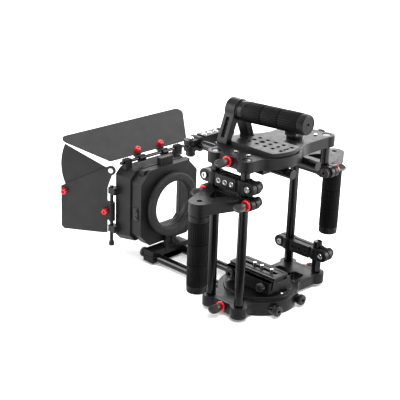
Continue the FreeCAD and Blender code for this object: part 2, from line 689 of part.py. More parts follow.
def top_rod_clamp():
    """Double clamp under the top plate that the upper rods slide in."""
    body = box(TOP_ROD_X - 44, TOP_ROD_X + 44, -26, 26, TOP_ROD_Z - 10.5, TOP_Z)
    bores = [rod((TOP_ROD_X + s * ROD_HALF_PITCH, -40, TOP_ROD_Z), Y, ROD_R + SLIDE_GAP, 80) for s in (1, -1)]
    splits = [box(TOP_ROD_X + s * 40 - 6, TOP_ROD_X + s * 40 + 6, -30, 30, TOP_ROD_Z - 0.7, TOP_ROD_Z + 0.7)
              for s in (1, -1)]
    middle = box(TOP_ROD_X - 18, TOP_ROD_X + 18, -30, 30, TOP_ROD_Z - 12, TOP_ROD_Z - 2)
    return cut_all(body, bores + splits + [middle])


# ---- matte box ----------------------------------------------------------------------------------
BRACKET_Y = (-230.0, -206.0)
POST_Y = (-211.6, -205.0)
RING_INNER = 42.0
RING_OUTER = 57.0
RING_REAR_Y = -198.0
TRAY_HALF = 55.0
TRAY_Y = (-230.0, -219.0)
WINDOW_HALF_X = 50.0
WINDOW_HALF_Z = 47.0


def rod_bracket():
    """Crossbar on the lower rods with a slotted upright that carries the filter stage."""
    y0, y1 = BRACKET_Y
    bar = box(AXIS_X - 43, AXIS_X + 43, y0, y1, 4, 26)
    bar = bar.cut(box(AXIS_X - 19, AXIS_X + 19, y0 - 1, y1 + 1, 3, 14))
    upright_bar = box(AXIS_X - 13, AXIS_X + 13, *POST_Y, 20, LENS_Z - RING_OUTER - 0.5)
    body = join([bar, upright_bar])
    tools = [rod((AXIS_X + s * ROD_HALF_PITCH, y0 - 1, LOWER_ROD_Z), Y, ROD_R + SLIDE_GAP, 40) for s in (1, -1)]
    tools += [box(AXIS_X + s * 40 - 6, AXIS_X + s * 40 + 6, y0 - 1, y1 + 1, 14.4, 15.6) for s in (1, -1)]
    tools.append(box(AXIS_X - 2.2, AXIS_X + 2.2, POST_Y[0] - 1, POST_Y[1] + 1, 30, 45))
    return cut_all(body, tools)


def octagon(y, half_x, half_z, corner):
    x0, z0 = AXIS_X, LENS_Z
    quarter = [(half_x, half_z - corner), (half_x - corner, half_z)]
    points = quarter + [(-x, z) for x, z in reversed(quarter)]
    points += [(-x, -z) for x, z in quarter] + [(x, -z) for x, z in reversed(quarter)]
    return [(x0 + x, y, z0 + z) for x, z in points]


def filter_stage():
    """Housing with a round rear port, a square front port and a slot for the tray."""
    y0, y1 = STAGE_Y
    body = prism(octagon(y0, STAGE_HALF_X, STAGE_HALF_Z, 22), Vector(0, y1 - y0, 0))
    port = rod((AXIS_X, y0 + 10, LENS_Z), Y, RING_INNER + 2, 30)
    window = box(AXIS_X - WINDOW_HALF_X, AXIS_X + WINDOW_HALF_X, y0 - 1, y0 + 10,
                 LENS_Z - WINDOW_HALF_Z, LENS_Z + WINDOW_HALF_Z)
    slot = box(AXIS_X - TRAY_HALF - 0.8, AXIS_X + TRAY_HALF + 0.8, TRAY_Y[0] - 0.5, TRAY_Y[1] + 0.5,
               LENS_Z - TRAY_HALF - 1, LENS_Z + STAGE_HALF_Z + 5)
    return cut_all(body, [port, window, slot])


def filter_tray():
    """Square filter frame with a pull tab above the stage."""
    y0, y1 = TRAY_Y
    body = box(AXIS_X - TRAY_HALF, AXIS_X + TRAY_HALF, y0, y1, LENS_Z - TRAY_HALF, LENS_Z + STAGE_HALF_Z - 1)
    tab = box(AXIS_X - 15, AXIS_X + 15, y0 + 1, y1 - 1, LENS_Z + STAGE_HALF_Z - 2, LENS_Z + STAGE_HALF_Z + 13)
    opening = box(AXIS_X - 48, AXIS_X + 48, y0 - 1, y1 + 1, LENS_Z - 47, LENS_Z + 47)
    return join([body, tab]).cut(opening)


def donut_ring():
    """Soft light-tight ring that meets the lens."""
    neck = ring((AXIS_X, STAGE_Y[1], LENS_Z), Y, RING_INNER + 8, RING_INNER, 5)
    rim = ring((AXIS_X, STAGE_Y[1] + 4, LENS_Z), Y, RING_OUTER, RING_INNER, RING_REAR_Y - STAGE_Y[1] - 4)
    rims = [e for e in rim.Edges if e.Curve.TypeId == "Part::GeomCircle" and e.BoundBox.YMin > RING_REAR_Y - 0.1]
    return join([neck, rim.makeFillet(2.0, rims)])


def closed_wire(points):
    corners = [Vector(*p) for p in points]
    return Part.makePolygon(corners + corners[:1])


TOP_LUG_X = (AXIS_X - 60, AXIS_X + 60)
SIDE_LUG_Z = (63.0, 133.0)


def hood():
    """Light shade: flared eight-sided shell with the lugs of both hinges."""
    y0, y1 = HOOD_FRONT_Y, STAGE_Y[0]
    outer = Part.makeLoft([closed_wire(octagon(y1, 70, 64, 12)), closed_wire(octagon(y0, 75, 67, 11))], True)
    inner = Part.makeLoft([closed_wire(octagon(y1 - 3, 67.5, 61.5, 11)),
                           closed_wire(octagon(y0 - 1, 72.7, 64.7, 10))], True)
    window = box(AXIS_X - WINDOW_HALF_X, AXIS_X + WINDOW_HALF_X, y1 - 10, y1 + 1,
                 LENS_Z - WINDOW_HALF_Z, LENS_Z + WINDOW_HALF_Z)
    shell = cut_all(outer, [inner, window])
    lugs, bores = [], []
    hinge_y, hinge_z = TOP_HINGE
    for x in TOP_LUG_X:
        lugs.append(box(x - 7, x + 7, hinge_y - 5.5, hinge_y + 5.5, hinge_z - 13, hinge_z + 5))
        bores.append(rod((x - 30, hinge_y, hinge_z), X, HINGE_R + SLIDE_GAP, 60))
    hinge_x, side_y = SIDE_HINGE
    for z in SIDE_LUG_Z:
        lugs.append(box(AXIS_X + 73.5, hinge_x + 4.5, side_y - 4.5, side_y + 12, z - 6, z + 6))
        bores.append(rod((hinge_x, side_y, z - 20), Z, HINGE_R + SLIDE_GAP, 40))
    shell = join([shell] + lugs)
    return cut_all(shell, bores)


TOP_HINGE_HALF = 75.0
SIDE_HINGE_Z = (31.0, 142.0)


def hinge_rods():
    hinge_y, hinge_z = TOP_HINGE
    hinge_x, side_y = SIDE_HINGE
    across = rod((AXIS_X - TOP_HINGE_HALF, hinge_y, hinge_z), X, HINGE_R, 2 * TOP_HINGE_HALF)
    z0, z1 = SIDE_HINGE_Z
    down = rod((hinge_x, side_y, z0), Z, HINGE_R, z1 - z0)
    foot = rod((hinge_x, side_y, z0), Z, 4.6, 7)
    return group([across, join([down, foot])])


TOP_CLAMP_X = (AXIS_X - 27, AXIS_X + 27)
CLAMP_HALF = 6.5


def on_top_flag(shape):
    """From the flat flag frame (forward = -y, z up, hinge rod on the x axis) to its place."""
    hinge_y, hinge_z = TOP_HINGE
    return moved(turned(shape, -TOP_FLAG_TILT, X), 0, hinge_y, hinge_z)


def top_flag():
    """Trapezoid flag, wider at the front, hung from the hinge rod."""
    rear, front = 9.0, 90.0
    outline = [(AXIS_X - 91, -rear), (AXIS_X + 91, -rear), (AXIS_X + 150, -front), (AXIS_X - 150, -front)]
    body = flat_prism(outline, 0.4, 0.4 + FLAG_T)
    body = round_edges(body, 10, outline[2:])
    body = round_edges(body, 3, outline[:2])
    screws = [rod((x, -14, -10), Z, 2.05, 20) for x in TOP_CLAMP_X]
    return on_top_flag(cut_all(body, screws))


def top_flag_clamps():
    clamps = []
    for x in TOP_CLAMP_X:
        eye = rod((x - CLAMP_HALF, 0, 0), X, 6.0, 2 * CLAMP_HALF)
        tongue = box(x - CLAMP_HALF, x + CLAMP_HALF, -20, 0, -5.0, 0.35)
        body = join([eye, tongue])
        body = cut_all(body, [box(x - 10, x + 10, -25, -8.5, 0.35, 9),
                              rod((x - 20, 0, 0), X, HINGE_R + SLIDE_GAP, 40),
                              rod((x, -14, -10), Z, 2.05, 20)])
        clamps.append(on_top_flag(body))
    return group(clamps)


def flag_knob(screw_length):
    """Small round thumb knob on the z axis, head upwards from z = 0."""
    head = rod((0, 0, 0), Z, FLAG_KNOB_R, 9)
    head = head.makeFillet(1.0, [e for e in head.Edges if e.BoundBox.ZMin > 8.9
                                 and e.Curve.TypeId == "Part::GeomCircle"])
    flutes = [rod((6.2 * math.cos(a), 6.2 * math.sin(a), -1), Z, 1.4, 12)
              for a in (math.radians(60 * i) for i in range(6))]
    head = cut_all(head, flutes + [rod((0, 0, 6), Z, 1.8, 5)])
    return join([head, rod((0, 0, -screw_length), Z, 2.0, screw_length + 1)])


def top_flag_knob(index):
    x = TOP_CLAMP_X[index]
    return on_top_flag(moved(flag_knob(7), x, -14, 0.4 + FLAG_T + JOINT_GAP))


def on_side_flag(shape):
    """From the flag frame (x along the flag, z up, y = 0 on the hinge, -y outwards) to its place."""
    hinge_x, side_y = SIDE_HINGE
    return moved(turned(mirrored_y(shape), SIDE_FLAG_OPEN - 90, Z), hinge_x, side_y)


SIDE_KNOB = (10.5, 94.0)
FAN_KNOB = (86.0, 121.0)
SIDE_CLAMP_Z = (77.0, 111.0)
SHEET_OUT = -0.6            # outer face of the side flag in its own frame
PIVOT_PIN_R = 3.0


def upright_sheet(points, y0, thickness):
    """Extrude an outline given as (along, height) towards +y of the flag frame."""
    return prism([(u, y0, z) for u, z in points], Vector(0, thickness, 0))


def left_flag():
    """Main panel of the side flag, with a boss for the fan's pivot."""
    u0, z0 = FAN_PIVOT
    points = [(7.5, 53), (15, 52), (89, 49), (94, 54), (94, 129), (u0 + 3, z0 + 8), (u0 - 4, z0 - 2), (7.5, 137)]
    body = upright_sheet(points, SHEET_OUT, FLAG_T)
    boss = rod((u0, SHEET_OUT, z0), Y, 8.5, FLAG_T)
    body = join([body, boss])
    tools = [rod((u0, -20, z0), Y, PIVOT_PIN_R + SLIDE_GAP, 40)]
    tools += [rod((u, -20, z), Y, 2.05, 40) for u, z in (FAN_KNOB, SIDE_KNOB)]
    tab = box(3.5, 12, SHEET_OUT, SHEET_OUT + FLAG_T, *SIDE_CLAMP_Z)
    return on_side_flag(cut_all(join([body, tab]), tools))


def left_flag_clamp():
    """Block that hangs the side flag on its hinge rod."""
    z0, z1 = SIDE_CLAMP_Z
    sheet_in = SHEET_OUT + FLAG_T
    eye = rod((0, 0, z0), Z, 6.0, z1 - z0)
    tongue = box(0, 15, sheet_in + 0.05, 6.0, z0, z1)
    keep_out = box(3.0, 20, -10, sheet_in + 0.05, z0 - 1, z1 + 1)
    body = join([eye, tongue]).cut(keep_out)
    tools = [rod((0, 0, 0), Z, HINGE_R + SLIDE_GAP, 200),
             rod((SIDE_KNOB[0], -20, SIDE_KNOB[1]), Y, 2.05, 40)]
    return on_side_flag(cut_all(body, tools))


def side_knob(place, screw_length):
    """Thumb knob facing outwards (-y in the flag frame)."""
    u, z = place
    body = turned(flag_knob(screw_length), 90, X)
    return on_side_flag(moved(body, u, SHEET_OUT - JOINT_GAP, z))


def fan_panel():
    """Sector that turns on the rivet and slides up behind the main panel."""
    u0, z0 = FAN_PIVOT
    y0 = SHEET_OUT + FLAG_T + JOINT_GAP
    low, high = math.radians(-30), math.radians(23.6)
    arc = Part.Arc(*[Vector(u0 + FAN_R * math.cos(a), y0, z0 + FAN_R * math.sin(a))
                     for a in (low, (low + high) / 2, high)]).toShape()
    centre = Vector(u0, y0, z0)
    wire = Part.Wire([Part.makeLine(centre, arc.Vertexes[0].Point), arc,
                      Part.makeLine(arc.Vertexes[-1].Point, centre)])
    sector = Part.Face(wire).extrude(Vector(0, 1.2, 0))
    boss = rod((u0, y0, z0), Y, 8.0, 1.2)
    body = join([sector, boss])
    return on_side_flag(body.cut(rod((u0, -20, z0), Y, PIVOT_PIN_R + SLIDE_GAP, 40)))


def fan_rivet():
    """Pivot rivet through both panels."""
    u0, z0 = FAN_PIVOT
    back = SHEET_OUT + FLAG_T + JOINT_GAP + 1.2 + JOINT_GAP
    body = join([rod((u0, SHEET_OUT - 1.6, z0), Y, 4.6, 1.6), rod((u0, SHEET_OUT - 1, z0), Y, PIVOT_PIN_R, 6),
                 rod((u0, back, z0), Y, 4.6, 1.4)])
    return on_side_flag(body)


def build():
    base_mid, top_mid = BASE_Z + PLATE_T / 2, TOP_Z + PLATE_T / 2
    save("base_plate", base_plate())
    save("base_cover", base_cover())
    save("clamp_jaws", group(clamp_jaw(z0, side) for z0 in (BASE_Z, TOP_Z) for side in (1, -1)))
    save("top_plate", top_plate())
    save("cheese_plate", cheese_plate())
    save("long_posts", long_posts())
    save("short_posts", short_posts())
    save("lower_rods", lower_rods())
    save("rod_caps", rod_caps())
    save("rod_clamp", rod_clamp())
    save("receiver", receiver())
    save("top_rod_clamp", top_rod_clamp())
    save("handle_yoke", handle_yoke())
    save("handle_core", handle_core())
    save("handle_sleeve", handle_sleeve())
    save("cold_shoe", cold_shoe())
    save("clamp_rings", clamp_rings())
    save("plate_screws", plate_screws())
    for name, z, side in (("base_left", base_mid, 1), ("base_right", base_mid, -1),
                          ("top_left", top_mid, 1), ("top_right", top_mid, -1)):
        save(name + "_wing", cage_wing(z, side))
    save("quick_plate", quick_plate())
    save("camera_screws", camera_screws())
    save("lock_knob", lock_knob())
    save("left_block", at_left(hole_block()))
    save("left_block_fittings", at_left(block_fittings()))
    save("right_block", at_right(hole_block()))
    save("right_block_fittings", at_right(block_fittings()))
    save("rod_block", on_top_rods(hole_block()))
    save("rod_block_fittings", on_top_rods(block_fittings()))
    save("top_rods", top_rods())
    for name, side, z in (("left", 1, LEFT_BRACKET_Z), ("right", -1, RIGHT_BRACKET_Z)):
        save(name + "_bracket", place_handle(bracket_body(), side, z))
        save(name + "_bracket_fittings", place_handle(bracket_fittings(), side, z))
        save(name + "_rear_wing", place_handle(bracket_wing(1), side, z))
        save(name + "_front_wing", place_handle(bracket_wing(-1), side, z))
        save(name + "_grip_core", place_grip(grip_core(GRIP_LENGTH), side, z))
        save(name + "_grip_sleeve", place_grip(grip_sleeve(GRIP_LENGTH), side, z))
    save("rod_bracket", rod_bracket())
    save("filter_stage", filter_stage())
    save("filter_tray", filter_tray())
    save("donut_ring", donut_ring())
    save("hood", hood())
    save("hinge_rods", hinge_rods())
    save("top_flag", top_flag())
    save("top_flag_clamps", top_flag_clamps())
    save("top_flag_knob_right", top_flag_knob(0))
    save("top_flag_knob_left", top_flag_knob(1))
    save("left_flag", left_flag())
    save("left_flag_clamp", left_flag_clamp())
    save("left_flag_knob", side_knob(SIDE_KNOB, 6))
    save("fan_panel", fan_panel())
    save("fan_rivet", fan_rivet())
    save("fan_knob", side_knob(FAN_KNOB, 5))


os.makedirs("parts", exist_ok=True)
build()
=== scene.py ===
"""Looks of the cinema camera rig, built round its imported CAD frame.

The scene is in metres and in the row frame: +Z up, -Y towards the lens, +X to the operator's
left. Profiles and sizes of added pieces are in millimetres."""

import json
import math

import bpy
from mathutils import Matrix, Vector


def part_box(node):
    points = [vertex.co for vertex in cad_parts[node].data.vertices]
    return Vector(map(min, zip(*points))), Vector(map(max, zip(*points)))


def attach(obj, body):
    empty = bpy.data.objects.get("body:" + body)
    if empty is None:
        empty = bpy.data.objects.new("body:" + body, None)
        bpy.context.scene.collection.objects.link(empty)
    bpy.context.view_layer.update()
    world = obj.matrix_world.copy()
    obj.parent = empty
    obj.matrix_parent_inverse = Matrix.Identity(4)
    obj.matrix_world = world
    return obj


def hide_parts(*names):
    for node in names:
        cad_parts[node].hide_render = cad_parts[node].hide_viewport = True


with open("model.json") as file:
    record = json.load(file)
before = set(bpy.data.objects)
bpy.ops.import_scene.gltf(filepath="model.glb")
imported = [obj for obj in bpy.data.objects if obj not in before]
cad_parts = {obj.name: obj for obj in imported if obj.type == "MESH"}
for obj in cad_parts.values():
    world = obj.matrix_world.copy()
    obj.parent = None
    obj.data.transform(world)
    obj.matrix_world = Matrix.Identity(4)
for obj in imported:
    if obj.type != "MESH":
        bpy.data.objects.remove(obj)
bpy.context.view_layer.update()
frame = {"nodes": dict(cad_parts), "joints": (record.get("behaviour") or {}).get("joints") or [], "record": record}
NODES = frame["nodes"]
JOINTS = {j["name"]: j for j in frame["joints"]}
MM = 0.001
TAU = 2 * math.pi


# ---- materials ----------------------------------------------------------------------
def new_material(name):
    material = bpy.data.materials.new(name)
    material.use_nodes = True
    tree = material.node_tree
    shader = tree.nodes["Principled BSDF"]
    coords = tree.nodes.new("ShaderNodeTexCoord")
    return material, tree, shader, coords.outputs["Object"]


def noise(tree, coords, scale, detail=3.0, roughness=0.55, stretch=None):
    if stretch:
        mapping = tree.nodes.new("ShaderNodeMapping")
        mapping.inputs["Scale"].default_value = stretch
        tree.links.new(coords, mapping.inputs["Vector"])
        coords = mapping.outputs["Vector"]
    node = tree.nodes.new("ShaderNodeTexNoise")
    node.inputs["Scale"].default_value = scale
    node.inputs["Detail"].default_value = detail
    node.inputs["Roughness"].default_value = roughness
    tree.links.new(coords, node.inputs["Vector"])
    return node.outputs["Fac"]


def spread(tree, value, low, high, start=0.3, end=0.7):
    node = tree.nodes.new("ShaderNodeMapRange")
    node.inputs["From Min"].default_value = start
    node.inputs["From Max"].default_value = end
    node.inputs["To Min"].default_value = low
    node.inputs["To Max"].default_value = high
    tree.links.new(value, node.inputs["Value"])
    return node.outputs["Result"]


def mix_colour(tree, factor, first, second):
    """Mix of two colours, each a plain colour or the output of a node."""
    node = tree.nodes.new("ShaderNodeMix")
    node.data_type = "RGBA"
    tree.links.new(factor, node.inputs["Factor"])
    for socket, colour in (("A", first), ("B", second)):
        if isinstance(colour, tuple):
            node.inputs[socket].default_value = (*colour, 1)
        else:
            tree.links.new(colour, node.inputs[socket])
    return node.outputs["Result"]


def combined(tree, node_type, operation, *values):
    """Value of a math or vector math node; a plain value is set, an output is linked."""
    node = tree.nodes.new(node_type)
    node.operation = operation
    for index, value in enumerate(values):
        if isinstance(value, tuple):
            node.inputs[index].default_value = value
        else:
            tree.links.new(value, node.inputs[index])
    return node.outputs["Value"]


def bump(tree, shader, height, strength, distance):
    node = tree.nodes.new("ShaderNodeBump")
    node.inputs["Strength"].default_value = strength
    node.inputs["Distance"].default_value = distance
    tree.links.new(height, node.inputs["Height"])
    tree.links.new(node.outputs["Normal"], shader.inputs["Normal"])


def edge_mask(tree, radius, start, end):
    """1 on edges sharper than the radius, 0 on flat faces."""
    bevel = tree.nodes.new("ShaderNodeBevel")
    bevel.samples = 6
    bevel.inputs["Radius"].default_value = radius
    geometry = tree.nodes.new("ShaderNodeNewGeometry")
    bend = combined(tree, "ShaderNodeVectorMath", "DOT_PRODUCT", bevel.outputs["Normal"],
                    geometry.outputs["Normal"])
    return spread(tree, bend, 0.0, 1.0, 1.0 - start, 1.0 - end)


# Width of the paler edges, partly worn metal and partly a painted edge highlight.
WEAR_AND_HIGHLIGHT_RADIUS = 0.0010


def metal_paint(name, dark, light, rough, grain, grain_depth, metallic=0.0, wear_and_edge_highlight=None,
                stretch=None, coat=0.0, gloss=0.3):
    """Anodised or painted surface: cloudy tone, uneven gloss, fine grain, and paler edges that are partly worn
    metal and partly a painted edge highlight.
    """
    material, tree, shader, coords = new_material(name)
    cloud = noise(tree, coords, 38, 4)
    colour = mix_colour(tree, spread(tree, cloud, 0, 1), dark, light)
    # Paler colour on sharp edges, broken into patches: partly worn metal, partly a painted highlight standing in
    # for bright bevel highlights.
    if wear_and_edge_highlight:
        patches = spread(tree, noise(tree, coords, 260), 0.2, 1)
        wear_and_highlight_mask = combined(tree, "ShaderNodeMath", "MULTIPLY",
                          edge_mask(tree, WEAR_AND_HIGHLIGHT_RADIUS, 0.02, 0.3), patches)
        colour = mix_colour(tree, wear_and_highlight_mask, colour, wear_and_edge_highlight)
    tree.links.new(colour, shader.inputs["Base Color"])
    uneven = noise(tree, coords, 90, 5, 0.65)
    tree.links.new(spread(tree, uneven, rough - 0.06, rough + 0.08), shader.inputs["Roughness"])
    bump(tree, shader, noise(tree, coords, grain, 2, 0.6, stretch), 0.5, grain_depth)
    shader.inputs["Metallic"].default_value = metallic
    shader.inputs["Specular IOR Level"].default_value = gloss
    shader.inputs["Coat Weight"].default_value = coat
    shader.inputs["Coat Roughness"].default_value = 0.2
    return material


def moulded(name, dark, light, rough, cell, depth, gloss=0.25):
    """Moulded plastic or rubber: fine pebbled skin over a cloudy tone."""
    material, tree, shader, coords = new_material(name)
    cloud = noise(tree, coords, 30, 5, 0.6)
    tree.links.new(mix_colour(tree, spread(tree, cloud, 0, 1), dark, light),
                   shader.inputs["Base Color"])
    tree.links.new(spread(tree, noise(tree, coords, 120, 4), rough - 0.05, rough + 0.07),
                   shader.inputs["Roughness"])
    pebble = tree.nodes.new("ShaderNodeTexVoronoi")
    pebble.inputs["Scale"].default_value = cell
    tree.links.new(coords, pebble.inputs["Vector"])
    bump(tree, shader, pebble.outputs["Distance"], 0.4, depth)
    shader.inputs["Specular IOR Level"].default_value = gloss
    return material


# The edge colour given last on the metals below is partly worn metal and partly a painted edge highlight.
# Name, dark and light tone, roughness, grain or pebble frequency, its depth in metres.
ANODISED = metal_paint("anodised_black", (0.005, 0.005, 0.0055), (0.011, 0.011, 0.012),
                       0.34, 2600, 0.00004, wear_and_edge_highlight=(0.30, 0.30, 0.305), gloss=0.26)
TUBE = metal_paint("tube_black", (0.002, 0.002, 0.0022), (0.004, 0.004, 0.0042),
                   0.12, 900, 0.00002, stretch=(1, 1, 0.02), wear_and_edge_highlight=(0.06, 0.06, 0.065), gloss=0.4)
TUBE_Y = metal_paint("tube_black_lengthwise", (0.003, 0.003, 0.0035), (0.006, 0.006, 0.0065),
                     0.15, 900, 0.00002, stretch=(1, 0.02, 1), wear_and_edge_highlight=(0.06, 0.06, 0.065),
                     gloss=0.4)
CAP = metal_paint("turned_black", (0.006, 0.006, 0.0065), (0.011, 0.011, 0.012),
                  0.3, 1800, 0.00003, wear_and_edge_highlight=(0.10, 0.10, 0.105), gloss=0.22)
RED = metal_paint("anodised_red", (0.50, 0.006, 0.014), (0.64, 0.014, 0.026),
                  0.28, 2400, 0.00003, metallic=0.2, wear_and_edge_highlight=(0.85, 0.12, 0.12), coat=0.5, gloss=0.5)
STEEL = metal_paint("bright_steel", (0.50, 0.50, 0.51), (0.66, 0.66, 0.66),
                    0.26, 1500, 0.00003, metallic=1.0)
NUT = metal_paint("nut_black", (0.006, 0.006, 0.0065), (0.013, 0.013, 0.014),
                  0.3, 2400, 0.00004, wear_and_edge_highlight=(0.16, 0.16, 0.165), gloss=0.4)
# Near-black matt finish for the rims of the drilled holes: painted shade of the holes.
HOLE_SHADE = metal_paint("hole_painted_shade", (0.002, 0.002, 0.002), (0.004, 0.004, 0.004),
                   0.5, 2400, 0.00003, gloss=0.1)
RUBBER = moulded("grip_rubber", (0.003, 0.003, 0.003), (0.006, 0.006, 0.006),
                 0.5, 2600, 0.00006, gloss=0.10)
SOFT = moulded("soft_rubber", (0.020, 0.020, 0.021), (0.032, 0.032, 0.033), 0.5, 1900, 0.00006)
PLASTIC = moulded("box_plastic", (0.010, 0.010, 0.011), (0.019, 0.019, 0.020),
                  0.42, 1500, 0.00010)
WING = moulded("wing_plastic", (0.020, 0.020, 0.021), (0.036, 0.036, 0.037),
               0.32, 1800, 0.00006, gloss=0.5)
SHEET = moulded("flag_sheet", (0.024, 0.024, 0.024), (0.034, 0.034, 0.034), 0.5, 2400, 0.00005)

SLOT_MATERIAL = {
    "black_anodised": ANODISED, "black_rod": TUBE, "black_cap": CAP, "grip_rubber": RUBBER,
    "soft_ring": SOFT, "red_anodised": RED, "wing_black": WING, "clamp_hardware": NUT,
    "bright_steel": STEEL, "matte_box_plastic": PLASTIC, "flag_sheet": SHEET,
}
NODE_SLOT = {s["node"]: s["material_slot"] for s in frame["record"]["subparts"]}


# ---- CAD nodes that stay: material and softened edges ----------------------------------
EDGE_WIDTH = 0.00045
WELD_GAP = 2e-6
FLAT_ANGLE = math.radians(0.5)
EDGE_ANGLE = math.radians(38)


def dress(node, material):
    """Give a node its material, merge its flat faces and round its edges."""
    obj = NODES[node]
    obj.data.materials.clear()
    obj.data.materials.append(material)
    weld = obj.modifiers.new("weld", "WELD")
    weld.merge_threshold = WELD_GAP
    flat = obj.modifiers.new("flat", "DECIMATE")
    flat.decimate_type = "DISSOLVE"
    flat.angle_limit = FLAT_ANGLE
    soft = obj.modifiers.new("soft", "BEVEL")
    soft.width = EDGE_WIDTH
    soft.segments = 2
    soft.limit_method = "ANGLE"
    soft.angle_limit = EDGE_ANGLE
    soft.use_clamp_overlap = False
    soft.miter_outer = "MITER_ARC"
    normals = obj.modifiers.new("normals", "WEIGHTED_NORMAL")
    normals.keep_sharp = False
    normals.weight = 80
    for polygon in obj.data.polygons:
        polygon.use_smooth = True
    if "custom_normal" in obj.data.attributes:
        obj.data.attributes.remove(obj.data.attributes["custom_normal"])


for node_name in NODES:
    dress(node_name, SLOT_MATERIAL[NODE_SLOT[node_name]])
for node_name in ("lower_rods", "top_rods"):
    NODES[node_name].data.materials[0] = TUBE_Y


# ---- mesh tools ------------------------------------------------------------------------
def mesh_object(name, verts, faces, material, sharp=35):
    mesh = bpy.data.meshes.new(name)
    mesh.from_pydata([tuple(v) for v in verts], [], faces)
    mesh.validate()
    for polygon in mesh.polygons:
        polygon.use_smooth = True
    mesh.set_sharp_from_angle(angle=math.radians(sharp))
    mesh.materials.append(material)
    obj = bpy.data.objects.new(name, mesh)
    bpy.context.scene.collection.objects.link(obj)
    return obj


def axes(origin, along, up=(0, 0, 1)):
    """Matrix whose z axis is along, placed at origin."""
    z = Vector(along).normalized()
    hint = Vector(up)
    if abs(z.dot(hint)) > 0.98:
        hint = Vector((0, 1, 0))
    x = hint.cross(z).normalized()
    y = z.cross(x)
    matrix = Matrix((x, y, z)).transposed().to_4x4()
    matrix.translation = Vector(origin)
    return matrix


def lathe_data(profile, segments, ripple=None, closed=False, lift=None):
    """Points and faces of a profile [(radius, height)] in millimetres, turned about z.

    ripple(radius, height, angle) adds to the radius, lift(radius, height, angle) to the height.
    """
    verts, faces, rows = [], [], []
    for radius, height in profile:
        if radius < 1e-4:
            rows.append([len(verts)] * segments)
            verts.append(Vector((0, 0, height)) * MM)
            continue
        row = []
        for i in range(segments):
            angle = TAU * i / segments
            r = radius + (ripple(radius, height, angle) if ripple else 0)
            h = height + (lift(radius, height, angle) if lift else 0)
            row.append(len(verts))
            verts.append(Vector((r * math.cos(angle), r * math.sin(angle), h)) * MM)
        rows.append(row)
    pairs = list(zip(rows, rows[1:]))
    if closed:
        pairs.append((rows[-1], rows[0]))
    for low, high in pairs:
        for i in range(segments):
            j = (i + 1) % segments
            face = []
            for index in (low[i], low[j], high[j], high[i]):
                if index not in face:
                    face.append(index)
            if len(face) > 2:
                faces.append(face)
    return verts, faces


def loft_data(sections):
    """Closed skin over rings of points (millimetres), with a fan on both ends."""
    verts, faces = [], []
    count = len(sections[0])
    for ring in sections:
        verts += [Vector(p) * MM for p in ring]
    for k in range(len(sections) - 1):
        for i in range(count):
            j = (i + 1) % count
            faces.append([k * count + i, k * count + j, (k + 1) * count + j, (k + 1) * count + i])
    faces.append(list(range(count))[::-1])
    faces.append([(len(sections) - 1) * count + i for i in range(count)])
    return verts, faces


def block_data(low, high, cut):
    """Box between two corners (millimetres) with its edges cut off."""
    lo, hi = Vector(low), Vector(high)

    def outline(z, inset):
        x0, y0, x1, y1 = lo.x + inset, lo.y + inset, hi.x - inset, hi.y - inset
        return [(x0 + cut, y0, z), (x1 - cut, y0, z), (x1, y0 + cut, z), (x1, y1 - cut, z),
                (x1 - cut, y1, z), (x0 + cut, y1, z), (x0, y1 - cut, z), (x0, y0 + cut, z)]

    return loft_data([outline(lo.z, cut), outline(lo.z + cut, 0), outline(hi.z - cut, 0),
                      outline(hi.z, cut)])


def joined(parts):
    """One list of points and faces out of several (verts, faces, matrix)."""
    verts, faces = [], []
    for part_verts, part_faces, matrix in parts:
        base = len(verts)
        verts += [matrix @ v for v in part_verts]
        faces += [[base + i for i in face] for face in part_faces]
    return verts, faces


def piece(name, parts, material, body, replaced=(), sharp=35):
    """One visible piece of several (verts, faces, matrix), riding on a body."""
    verts, faces = joined(parts)
    obj = mesh_object(name, verts, faces, material, sharp)
    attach(obj, body)
    if replaced:
        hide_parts(*replaced)
    return obj


# ---- grips -----------------------------------------------------------------------------
GRIP_R = 16.2
COLLAR = 13.0
END_CAP = 11.0
RIBS = 28
TOP_GRIP_LENGTH = 132.0
TOP_GRIP_TILT = math.radians(3.0)
BOSS_DROP = 17.5  # from the top of the yoke to the grip's axis


def waves(count, depth, above):
    """Relief of rounded ribs on every row further out than the given radius."""
    def ripple(radius, height, angle):
        return -depth * (0.5 - 0.5 * math.cos(count * angle)) ** 1.5 if radius > above else 0
    return ripple


def hexagon(row_radius):
    """Turns the rows of one radius into a hex socket."""
    def ripple(radius, height, angle):
        if abs(radius - row_radius) > 1e-4:
            return 0
        offset = (angle + math.pi / 6) % (math.pi / 3) - math.pi / 6
        return radius * (0.93 / math.cos(offset) - 1)
    return ripple


